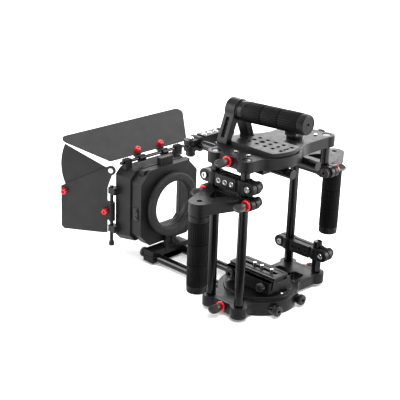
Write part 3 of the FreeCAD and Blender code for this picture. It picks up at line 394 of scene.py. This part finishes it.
def grip_parts(matrix, length):
    """Core and sleeve of a grip that runs along z from 0 to length."""
    end = length - END_CAP
    core = [(0, -0.1), (15.0, -0.1), (15.8, 0.5), (15.8, 2.5), (14.4, 2.8), (14.4, 3.9),
            (15.8, 4.2), (15.8, COLLAR - 0.6), (15.3, COLLAR), (10.0, COLLAR), (10.0, end),
            (15.3, end), (15.8, end + 0.6),
            (15.8, length - 2.4), (15.3, length - 1.0), (14.2, length - 0.2), (13.2, length),
            (12.6, length), (12.2, length - 0.5), (4.4, length - 0.5), (4.0, length - 0.1),
            (2.6, length - 0.1), (2.3, length - 0.4), (2.3, length - 2.4), (0, length - 2.4)]

    def flutes(radius, height, angle):
        if height > end + 1.5 and radius > 15.5:
            return -0.4 * (0.5 - 0.5 * math.cos(RIBS * angle))
        return hexagon(2.3)(radius, height, angle)

    span = length - END_CAP - COLLAR
    profile = [(10.1, COLLAR + 0.1), (15.5, COLLAR + 0.1), (GRIP_R, COLLAR + 0.9)]
    for share in (0.34, 0.655):
        middle = COLLAR + share * span
        profile += [(GRIP_R, middle - 1.1), (15.6, middle - 0.8), (14.9, middle - 0.6),
                    (14.9, middle + 0.6), (15.6, middle + 0.8), (GRIP_R, middle + 1.1)]
    profile += [(GRIP_R, end - 0.9), (15.5, end - 0.1), (10.1, end - 0.1)]
    sleeve = lathe_data(profile, RIBS * 6, waves(RIBS, 0.55, 16.0), closed=True)
    return (*lathe_data(core, RIBS * 6, flutes), matrix), (*sleeve, matrix)


def add_side_grip(name):
    low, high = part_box(name + "_grip_core")
    x, y = (low.x + high.x) / 2, (low.y + high.y) / 2
    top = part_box(name + "_grip_sleeve")[1].z + COLLAR * MM
    matrix = axes((x, y, top), (0, 0, -1))
    core, sleeve = grip_parts(matrix, (top - low.z) / MM)
    stud = lathe_data([(0, -6), (2.9, -6), (2.9, 0), (0, 0)], 24)
    head = lathe_data([(0, -12), (1.9, -12), (2.7, -12), (3.0, -11.6), (3.0, -6), (0, -6)], 24)
    piece(name + "_grip_core_turned", [core, (*stud, matrix), (*head, matrix)], CAP,
          name + "_handle", [name + "_grip_core"])
    piece(name + "_grip_rubber", [sleeve], RUBBER, name + "_handle", [name + "_grip_sleeve"],
          50)


def add_top_grip():
    """Handle grip that runs back and slightly up from the yoke's boss."""
    direction = Vector((0, math.cos(TOP_GRIP_TILT), math.sin(TOP_GRIP_TILT)))
    low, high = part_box("handle_yoke")
    start = Vector(((low.x + high.x) / 2, high.y, high.z - BOSS_DROP * MM))
    core, sleeve = grip_parts(axes(start, direction), TOP_GRIP_LENGTH)
    piece("top_grip_core_turned", [core], CAP, "cage", ["handle_core"])
    piece("top_grip_rubber", [sleeve], RUBBER, "cage", ["handle_sleeve"], 50)


add_side_grip("left")
add_side_grip("right")
add_top_grip()


# ---- wing knobs and their red rings --------------------------------------------------------
PADDLE = 24.0
PADDLE_LEAN = math.radians(60.0)
RING_THICKNESS = 4.9
# Height above the hub's foot, half width and half thickness.
PADDLE_ROWS = ((0, 4.6, 4.6), (0.4, 5.0, 5.0), (2.2, 5.0, 5.0), (3.0, 5.5, 4.2), (4.6, 6.7, 3.2),
               (7.0, 7.6, 2.7), (10.0, 8.0, 2.5), (13.0, 8.0, 2.4), (16.0, 7.8, 2.3),
               (18.5, 7.1, 2.1), (20.8, 5.9, 1.8), (22.6, 4.1, 1.4), (23.6, 2.3, 0.9),
               (24.0, 0.8, 0.3))
CAGE_WINGS = ("base_left_wing", "base_right_wing", "top_left_wing", "top_right_wing")
HANDLE_WINGS = ("left_front_wing", "left_rear_wing", "right_front_wing", "right_rear_wing")


def paddle_data():
    """Hub and smooth oval paddle along z."""
    sections = []
    for height, wide, thick in PADDLE_ROWS:
        dish = 0.35 if 6 < height < 19 else 0
        ring = []
        for i in range(32):
            angle = TAU * i / 32
            c, s = math.cos(angle), math.sin(angle)
            hollow = dish * max(0.0, 1 - (c / 0.75) ** 2)
            half = max(thick * abs(s) ** 0.8 - hollow, 0)
            ring.append((wide * c, math.copysign(half, s), height))
        sections.append(ring)
    return loft_data(sections)


def add_wing(node):
    """Paddle and screw of a wing knob, riding on the body of the same name."""
    low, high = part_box(node)
    side = 1 if high.x > 0 else -1
    tip = high.x if side > 0 else low.x
    hub = Vector((tip - side * PADDLE * MM, (low.y + high.y) / 2, (low.z + high.z) / 2))
    z = Vector((side, 0, 0))
    x = Vector((0, -math.sin(PADDLE_LEAN), math.cos(PADDLE_LEAN)))
    matrix = Matrix((x, z.cross(x), z)).transposed().to_4x4()
    matrix.translation = hub
    length = (high.x - low.x) / MM - PADDLE
    screw = [(0, -length), (2.0, -length), (2.45, 0.6 - length)]
    thread = 1.0 - length
    while thread < -1.0:
        screw += [(2.45, thread), (2.2, thread + 0.4)]
        thread += 0.8
    screw += [(2.45, -0.2), (2.45, 1.0), (0, 1.0)]
    piece(node + "_paddle", [(*paddle_data(), matrix), (*lathe_data(screw, 20), matrix)], WING,
          node, [node], 40)


def ring_data():
    profile = [(3.4, 0.1), (7.6, 0.1), (8.3, 0.4), (8.6, 1.0), (8.6, 3.5), (8.3, 4.1),
               (7.6, 4.4), (5.6, 4.4), (5.0, 4.0), (3.4, 3.9)]
    return lathe_data(profile, 64, closed=True)


def ring_at(wing_node):
    """Matrix of the red ring under a wing's hub."""
    low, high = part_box(wing_node)
    side = 1 if high.x > 0 else -1
    tip = high.x if side > 0 else low.x
    x = tip - side * (PADDLE + RING_THICKNESS) * MM
    return axes((x, (low.y + high.y) / 2, (low.z + high.z) / 2), (side, 0, 0))


for wing in CAGE_WINGS + HANDLE_WINGS:
    add_wing(wing)
piece("cage_red_rings", [(*ring_data(), ring_at(wing)) for wing in CAGE_WINGS], RED, "cage",
      ["clamp_rings"], 50)


# ---- clamp hardware ------------------------------------------------------------------------
EAR_Y = 44.0
EAR_FACE = 9.5
BACK = -9.0
BLOCK_FACE = 12.0
INSERT_STEP = 13.2
BOLT_LENGTH = 22.5


def nut_data():
    """Knurled nut that grows from z = 0, with a smaller end section."""
    profile = [(2.7, 0.1), (7.4, 0.1), (7.9, 0.6), (7.9, 3.9), (7.3, 4.4), (7.3, 5.0),
               (7.9, 5.5), (7.9, 8.4), (7.3, 9.0), (6.2, 9.0), (6.2, 9.9), (5.7, 10.4),
               (3.6, 10.4), (3.2, 9.6), (2.7, 9.6)]
    return lathe_data(profile, 144, waves(36, 0.3, 7.8), closed=True)


def bolt_data(length):
    """Socket head from z = 0 to 3 with its shank behind it."""
    profile = [(0, -length), (2.1, -length), (2.5, 0.5 - length), (2.5, 0.05), (4.6, 0.05),
               (5.0, 0.4), (5.0, 2.3), (4.5, 3.0), (2.9, 3.0), (2.5, 2.6), (2.5, 1.3), (0, 1.1)]
    return lathe_data(profile, 36, hexagon(2.5))


def insert_data():
    """Threaded insert through a block, with a polished rim."""
    depth = BLOCK_FACE - BACK
    profile = [(4.25, 0.1), (4.25, depth + 0.3), (3.9, depth + 0.8), (3.3, depth + 0.8),
               (2.7, depth + 0.2)]
    height = depth - 0.4
    while height > 1:
        profile += [(2.56, height), (2.85, height - 0.6)]
        height -= 1.2
    profile += [(2.56, 0.1)]
    return lathe_data(profile, 40, closed=True)


def add_block_hardware(name, matrix, body, insert_material):
    """matrix takes the block's own frame (x out of its face, y along it) to the row frame."""
    bolts, nuts, inserts = [], [], []
    for side in (1, -1):
        ear = Vector((0, side * EAR_Y * MM, 0))
        face, back = (ear + Vector((x * MM, 0, 0)) for x in (EAR_FACE, BACK))
        bolts.append((*bolt_data(BOLT_LENGTH), matrix @ axes(face, (1, 0, 0))))
        nuts.append((*nut_data(), matrix @ axes(back, (-1, 0, 0))))
    for i in (-1, 0, 1):
        foot = Vector((BACK * MM, i * INSERT_STEP * MM, 0))
        inserts.append((*insert_data(), matrix @ axes(foot, (1, 0, 0))))
    piece(name + "_bolts", bolts, STEEL, body, [name + "_fittings"])
    piece(name + "_nuts", nuts, NUT, body, [], 50)
    piece(name + "_inserts", inserts, insert_material, body)


def block_place(node):
    low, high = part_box(node)
    return Matrix.Translation((low.x + BLOCK_FACE * MM, (low.y + high.y) / 2,
                               (low.z + high.z) / 2))


add_block_hardware("left_block", block_place("left_block"), "left_block", STEEL)
add_block_hardware("right_block", block_place("right_block"), "right_block", NUT)
rods_low, rods_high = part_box("top_rods")
block_low, block_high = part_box("rod_block")
upward = Matrix(((0, 1, 0), (0, 0, 1), (1, 0, 0))).to_4x4()
upward.translation = Vector(((block_low.x + block_high.x) / 2, (block_low.y + block_high.y) / 2,
                             (rods_low.z + rods_high.z) / 2))
add_block_hardware("rod_block", upward, "upper_rods", STEEL)

for hand in ("left", "right"):
    side = 1 if hand == "left" else -1
    rings, nuts = [], []
    for end in ("front", "rear"):
        place = ring_at(f"{hand}_{end}_wing")
        rings.append((*ring_data(), place))
        back = place.copy()
        back.translation -= Vector((side * (EAR_FACE - BACK) * MM, 0, 0))
        nuts.append((*nut_data(), axes(back.translation, (-side, 0, 0))))
    body = hand + "_handle"
    piece(hand + "_bracket_rings", rings, RED, body, [hand + "_bracket_fittings"],
          50)
    piece(hand + "_bracket_nuts", nuts, NUT, body, [], 50)


# ---- small round knobs ----------------------------------------------------------------------
FLAG_KNOB = 9.0
LOCK_KNOB = 12.0
ROD_RADIUS = 7.5


def flag_knob_data(screw):
    profile = [(0, -screw), (1.6, -screw), (1.95, 0.4 - screw), (1.95, 0.0), (4.8, 0.0),
               (5.4, 0.5), (5.5, 1.2), (5.5, 7.6), (5.2, 8.5), (4.4, FLAG_KNOB),
               (2.4, FLAG_KNOB), (1.9, 8.6), (1.9, 6.2), (0, 6.0)]
    flutes = waves(6, 1.0, 4.3)
    socket = hexagon(1.9)
    return lathe_data(profile, 72, lambda r, h, a: flutes(r, h, a) + socket(r, h, a))


def joint_frame(name, offset=0.0):
    """Matrix on a joint's axis, moved along it by offset metres."""
    joint = JOINTS[name]
    axis = Vector(joint["axis"])
    return axes(Vector(joint["pos_m"]) + axis * offset, axis)


def knob_foot(node, joint_name, axial_size):
    """Where a knob's body starts along its joint's axis (metres), and its screw's length."""
    joint = JOINTS[joint_name]
    axis = Vector(joint["axis"])
    origin = Vector(joint["pos_m"])
    along = [axis.dot(v.co - origin) for v in NODES[node].data.vertices]
    return max(along) - axial_size * MM, (max(along) - min(along)) / MM - axial_size


for node_name in ("left_flag_knob", "fan_knob", "top_flag_knob_left", "top_flag_knob_right"):
    foot, screw_length = knob_foot(node_name, node_name + "_turn", FLAG_KNOB)
    place = joint_frame(node_name + "_turn", foot)
    piece(node_name + "_fluted", [(*flag_knob_data(screw_length), place)], RED, node_name,
          [node_name], 40)


def lock_knob_data(screw):
    profile = [(0, -screw), (2.1, -screw), (2.4, 0.4 - screw), (2.4, 0), (4.6, 0), (5.0, 0.4),
               (5.0, 3.0), (6.8, 3.1), (7.4, 3.7), (7.4, 10.8), (6.9, 11.6), (6.0, LOCK_KNOB),
               (4.6, LOCK_KNOB), (4.3, 11.6), (0, 11.6)]
    return lathe_data(profile, 96, waves(8, 1.0, 6.7))


foot, screw_length = knob_foot("lock_knob", "lock_knob_turn", LOCK_KNOB)
piece("lock_knob_fluted", [(*lock_knob_data(screw_length), joint_frame("lock_knob_turn", foot))],
      NUT, "lock_knob", ["lock_knob"], sharp=40)

# Round release button at the front of the same wall, with a hollow middle.
receiver_low, receiver_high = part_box("receiver")
button = lathe_data([(0, 0.05), (6.0, 0.05), (6.0, 2.0), (7.4, 2.2), (7.9, 2.8), (7.9, 7.4),
                     (7.4, 8.0), (3.6, 8.0), (3.2, 7.6), (3.2, 3.0), (0, 3.0)],
                    96, waves(24, 0.35, 7.6))
lock_at = Vector(JOINTS["lock_knob_turn"]["pos_m"])
button_place = axes((receiver_high.x, -lock_at.y, lock_at.z), (1, 0, 0))
piece("release_button", [(*button, button_place)], NUT, "cage", [], 40)


# ---- rod and upright ends ---------------------------------------------------------------------
def rod_cap_data():
    """Neck and knurled end knob of a rod, with a hex socket."""
    profile = [(0, 0.05), (6.9, 0.05), (6.9, 2.1), (8.4, 2.2), (8.9, 2.8), (8.9, 8.6),
               (8.3, 9.4), (7.2, 9.9), (3.5, 9.9), (3.0, 9.5), (3.0, 6.2), (0, 6.0)]
    knurl = waves(30, 0.45, 8.6)
    socket = hexagon(3.0)
    return lathe_data(profile, 120, lambda r, h, a: knurl(r, h, a) + socket(r, h, a))


rod_low, rod_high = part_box("lower_rods")
rod_z = (rod_low.z + rod_high.z) / 2
caps = []
for x in (rod_low.x + ROD_RADIUS * MM, rod_high.x - ROD_RADIUS * MM):
    caps.append((*rod_cap_data(), axes((x, rod_low.y, rod_z), (0, -1, 0))))
    caps.append((*rod_cap_data(), axes((x, rod_high.y, rod_z), (0, 1, 0))))
piece("rod_caps_turned", caps, NUT, "cage", ["rod_caps"], 40)

# Countersunk rims of the holes in the drilled plate, near-black and matt, darker than the plate: painted shade of
# the holes.
plate_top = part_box("cheese_plate")[1].z
rim = lathe_data([(2.56, -0.9), (3.7, 0.03), (3.9, 0.10), (3.4, 0.12), (2.62, -0.5)], 32,
                 closed=True)
big_rim = lathe_data([(3.98, -0.9), (5.2, 0.03), (5.4, 0.10), (4.9, 0.12), (4.04, -0.5)], 40,
                     closed=True)
MOUNTS = {m["name"]: Vector(m["pos_m"]) for m in frame["record"]["mounts"]}
hub = MOUNTS["cheese_3_8"]
PITCH = 16.0
COLUMN = 13
offsets = [(-COLUMN, -2 * PITCH + PITCH * i) for i in range(6)]
offsets += [(COLUMN, -PITCH + PITCH * i) for i in range(5)]
offsets += [(0, -PITCH), (0, PITCH), (0, 2 * PITCH)]
rims = [(*rim, Matrix.Translation((hub.x + x * MM, hub.y + y * MM, plate_top)))
        for x, y in offsets]
rims.append((*big_rim, Matrix.Translation((hub.x, hub.y, plate_top))))
piece("drilled_plate_rims", rims, HOLE_SHADE, "cage", [])

# Small bright locating ball behind the receiver.
ball = lathe_data([(0, 0), (2.6, 0), (2.6, 0.6), (2.3, 1.4), (1.5, 2.1), (0.7, 2.4), (0, 2.5)], 24)
ball_place = Matrix.Translation(((receiver_low.x + receiver_high.x) / 2,
                                 receiver_high.y + 4.0 * MM, receiver_low.z))
piece("locating_ball", [(*ball, ball_place)], STEEL, "cage", [])


# ---- lens ring ---------------------------------------------------------------------------------
donut_low, donut_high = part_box("donut_ring")
donut_centre = (donut_low + donut_high) / 2


def seams(radius, height, angle):
    """Shallow radial grooves on the face of the ring."""
    if height < 12 or not 43 < radius < 56.5:
        return 0
    near = abs((angle * 9 / TAU + 0.5) % 1 - 0.5) * TAU / 9 * radius
    return -0.45 if near < 0.6 else 0


donut_profile = [(42.0, 0.1), (50.0, 0.1), (50.0, 4.2), (55.6, 4.4), (56.6, 5.2), (57.0, 6.6),
                 (57.0, 11.4), (56.7, 12.6), (56.0, 13.5), (54.8, 13.95), (53.0, 14.0),
                 (50.0, 14.0), (47.0, 13.9), (45.0, 13.7), (43.4, 13.2), (42.4, 12.3),
                 (42.0, 11.0), (42.0, 9.0), (43.0, 8.2), (43.0, 5.4), (42.0, 4.6)]
piece("lens_ring_moulded",
      [(*lathe_data(donut_profile, 360, closed=True, lift=seams),
        axes((donut_centre.x, donut_low.y, donut_centre.z), (0, 1, 0)))],
      SOFT, "matte_box", ["donut_ring"], 40)


# ---- small fittings of the matte box ------------------------------------------------------------
LUG_OFFSET = 60  # of each hinge lug from the middle of the matte box
LATCH_HALF_WIDTH, LATCH_HALF_HEIGHT, LATCH_DROP = 5, 11, 8
LATCH_BOSS_STEP = 6


def bar(low, high, cut=0.35):
    return (*block_data(low, high, cut), Matrix.Identity(4))


stage_low, stage_high = (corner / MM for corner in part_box("filter_stage"))
latch_y = (stage_low.y + stage_high.y) / 2
latch_z = (stage_low.z + stage_high.z) / 2 - LATCH_DROP
boss = lathe_data([(0, 0), (3.0, 0), (3.0, 1.2), (2.6, 1.6), (1.2, 1.6), (1.0, 1.2), (0, 1.1)], 28)
latches = []
for x, side in ((stage_high.x, 1), (stage_low.x, -1)):
    near, far = sorted((x - 0.2 * side, x + 2.0 * side))
    latches.append(bar((near, latch_y - LATCH_HALF_WIDTH, latch_z - LATCH_HALF_HEIGHT),
                       (far, latch_y + LATCH_HALF_WIDTH, latch_z + LATCH_HALF_HEIGHT)))
    for step in (-LATCH_BOSS_STEP, LATCH_BOSS_STEP):
        foot = Vector((x + 1.9 * side, latch_y, latch_z + step)) * MM
        latches.append((*boss, axes(foot, (side, 0, 0))))
    for step in (-2, 0, 2):
        near, far = sorted((x + 1.8 * side, x + 2.8 * side))
        latches.append(bar((near, latch_y - 4, latch_z + step - 0.5),
                           (far, latch_y + 4, latch_z + step + 0.5), 0.2))
piece("stage_latches", latches, NUT, "matte_box", [])

tray_low, tray_high = (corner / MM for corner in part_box("filter_tray"))
tab_x = (tray_low.x + tray_high.x) / 2
tab_ribs = [bar((tab_x + step - 0.7, tray_high.y - 1.2, stage_high.z + 1.5),
                (tab_x + step + 0.7, tray_high.y - 0.2, tray_high.z - 1.5))
            for step in (-10, -5, 0, 5, 10)]
piece("tray_tab_ribs", tab_ribs, PLASTIC, "filter_tray")

# Ribs over the top and down the back of the two lugs that hold the top hinge rod.
hinge_y, hinge_z = (value / MM for value in JOINTS["top_flag_hinge"]["pos_m"][1:3])
clip_ribs = []
for lug_x in (tab_x - LUG_OFFSET, tab_x + LUG_OFFSET):
    for x in (lug_x - 4.5, lug_x, lug_x + 4.5):
        clip_ribs.append(bar((x - 0.8, hinge_y - 4.5, hinge_z + 4.8),
                             (x + 0.8, hinge_y + 5.4, hinge_z + 6.0)))
        clip_ribs.append(bar((x - 0.8, hinge_y + 5.3, hinge_z - 8),
                             (x + 0.8, hinge_y + 6.5, hinge_z + 6.0)))
piece("hinge_clip_ribs", clip_ribs, PLASTIC, "matte_box")


# ---- camera, floor and light --------------------------------------------------------------
CAMERA_LENS = 93.32
CAMERA_PLACE = (1.201585, 0.990002, 0.762506)
CAMERA_TURN = (133.603, 21.045, 2.035)  # azimuth, elevation and roll in degrees
FLOOR_HALF = 25.0
FLOOR_GLOW = 0.12
# Level direction across the dark runner in the floor's painted reflection.
RUNNER_NORMAL = (-0.69, 0.724, 0)  # level direction across the dark runner
BACKDROP = 1.2
LIGHT_TARGET = (0, -0.05, 0.15)
SOFT_BOXES = (  # name, place, width and height in metres, power in watts
    ("back", (-1.5, -1.5, 1.05), (1.8, 0.9), 22),
    ("key", (0.5, 0.5, 1.6), (1.0, 1.0), 20),
    ("side", (-1.4, 0.9, 0.7), (1.1, 1.1), 36),
    ("left", (1.0, -1.4, 0.7), (1.0, 1.1), 26),
)
SKY_STRENGTH = 0.9
SKY_ANGLE = math.radians(60)


def add_camera():
    data = bpy.data.cameras.new("camera")
    data.lens = CAMERA_LENS
    data.sensor_width = 36
    data.clip_start, data.clip_end = 0.05, 100
    camera = bpy.data.objects.new("camera", data)
    bpy.context.scene.collection.objects.link(camera)
    azimuth, elevation, roll = (math.radians(v) for v in CAMERA_TURN)
    back = Vector((math.sin(azimuth) * math.cos(elevation),
                   -math.cos(azimuth) * math.cos(elevation), math.sin(elevation)))
    right = Vector((math.cos(azimuth), math.sin(azimuth), 0))
    up = back.cross(right)
    x = math.cos(roll) * right + math.sin(roll) * up
    y = -math.sin(roll) * right + math.cos(roll) * up
    matrix = Matrix((x, y, back)).transposed().to_4x4()
    matrix.translation = Vector(CAMERA_PLACE)
    camera.matrix_world = matrix
    bpy.context.scene.camera = camera


def add_floor():
    half = FLOOR_HALF
    corners = [(-half, -half, 0), (half, -half, 0), (half, half, 0), (-half, half, 0)]
    floor = mesh_object("floor", corners, [(0, 1, 2, 3)], new_floor_material())


def new_floor_material():
    """White paper with a faint even glow, and a painted reflection: a glow pattern that only reflections see."""
    material, tree, shader, coords = new_material("floor_paper_and_painted_reflection")
    tone = spread(tree, noise(tree, coords, 2.5), 0, 1)
    paper = mix_colour(tree, tone, (0.93, 0.93, 0.93), (0.95, 0.95, 0.95))
    tree.links.new(paper, shader.inputs["Base Color"])
    shader.inputs["Roughness"].default_value = 0.9
    shader.inputs["Specular IOR Level"].default_value = 0.1
    shader.inputs["Emission Color"].default_value = (1, 1, 1, 1)
    shader.inputs["Emission Strength"].default_value = FLOOR_GLOW
    # Painted reflection: only glossy rays see this glow. In reflections the floor is pale near the object and to
    # its sides, with a dark runner between. This paints highlight streaks on polished black parts and keeps them
    # black elsewhere, while the camera sees plain paper. Each spread gives the glow at its start and at its end,
    # in metres from the runner's middle line and from the origin.
    across = combined(tree, "ShaderNodeVectorMath", "DOT_PRODUCT", coords, RUNNER_NORMAL)
    distance = combined(tree, "ShaderNodeMath", "ABSOLUTE", across)
    radius = combined(tree, "ShaderNodeVectorMath", "LENGTH", coords)
    painted_reflection_glow = combined(tree, "ShaderNodeMath", "MAXIMUM",
                        spread(tree, distance, 0.16, 2.4, 0.10, 0.44),
                        spread(tree, radius, 1.5, 0.0, 0.13, 0.24))
    glow = tree.nodes.new("ShaderNodeEmission")
    tree.links.new(painted_reflection_glow, glow.inputs["Strength"])
    path = tree.nodes.new("ShaderNodeLightPath")
    mixed = tree.nodes.new("ShaderNodeMixShader")
    tree.links.new(path.outputs["Is Glossy Ray"], mixed.inputs["Fac"])
    tree.links.new(shader.outputs["BSDF"], mixed.inputs[1])
    tree.links.new(glow.outputs["Emission"], mixed.inputs[2])
    tree.links.new(mixed.outputs["Shader"], tree.nodes["Material Output"].inputs["Surface"])
    return material


def area_light(name, place, size, power):
    data = bpy.data.lights.new(name, "AREA")
    data.shape = "RECTANGLE"
    data.size, data.size_y = size
    data.energy = power
    light = bpy.data.objects.new(name, data)
    bpy.context.scene.collection.objects.link(light)
    light.matrix_world = axes(place, Vector(place) - Vector(LIGHT_TARGET))


def add_light():
    """Bright ceiling that fades to a dim horizon behind a white backdrop, and four soft boxes."""
    world = bpy.data.worlds.new("studio")
    world.use_nodes = True
    tree = world.node_tree
    coords = tree.nodes.new("ShaderNodeTexCoord")
    split = tree.nodes.new("ShaderNodeSeparateXYZ")
    tree.links.new(coords.outputs["Generated"], split.inputs["Vector"])
    ceiling = spread(tree, split.outputs["Z"], 0.10, 1.25, 0.40, 0.85)
    path = tree.nodes.new("ShaderNodeLightPath")
    backdrop = tree.nodes.new("ShaderNodeMix")
    backdrop.inputs["B"].default_value = BACKDROP
    tree.links.new(path.outputs["Is Camera Ray"], backdrop.inputs["Factor"])
    tree.links.new(ceiling, backdrop.inputs["A"])
    tree.links.new(backdrop.outputs["Result"], tree.nodes["Background"].inputs["Strength"])
    tree.nodes["Background"].inputs["Color"].default_value = (1, 1, 1, 1)
    bpy.context.scene.world = world
    for name, place, size, power in SOFT_BOXES:
        area_light(name, place, size, power)
    sun = bpy.data.lights.new("sky", "SUN")
    sun.energy = SKY_STRENGTH
    sun.angle = SKY_ANGLE
    lamp = bpy.data.objects.new("sky", sun)
    lamp.matrix_world = axes((0, 0, 2), (0.15, 0.1, 1), (0, 1, 0))
    bpy.context.scene.collection.objects.link(lamp)
    bpy.context.scene.view_settings.view_transform = "Standard"
    bpy.context.scene.view_settings.gamma = 0.9


add_camera()
add_floor()
add_light()
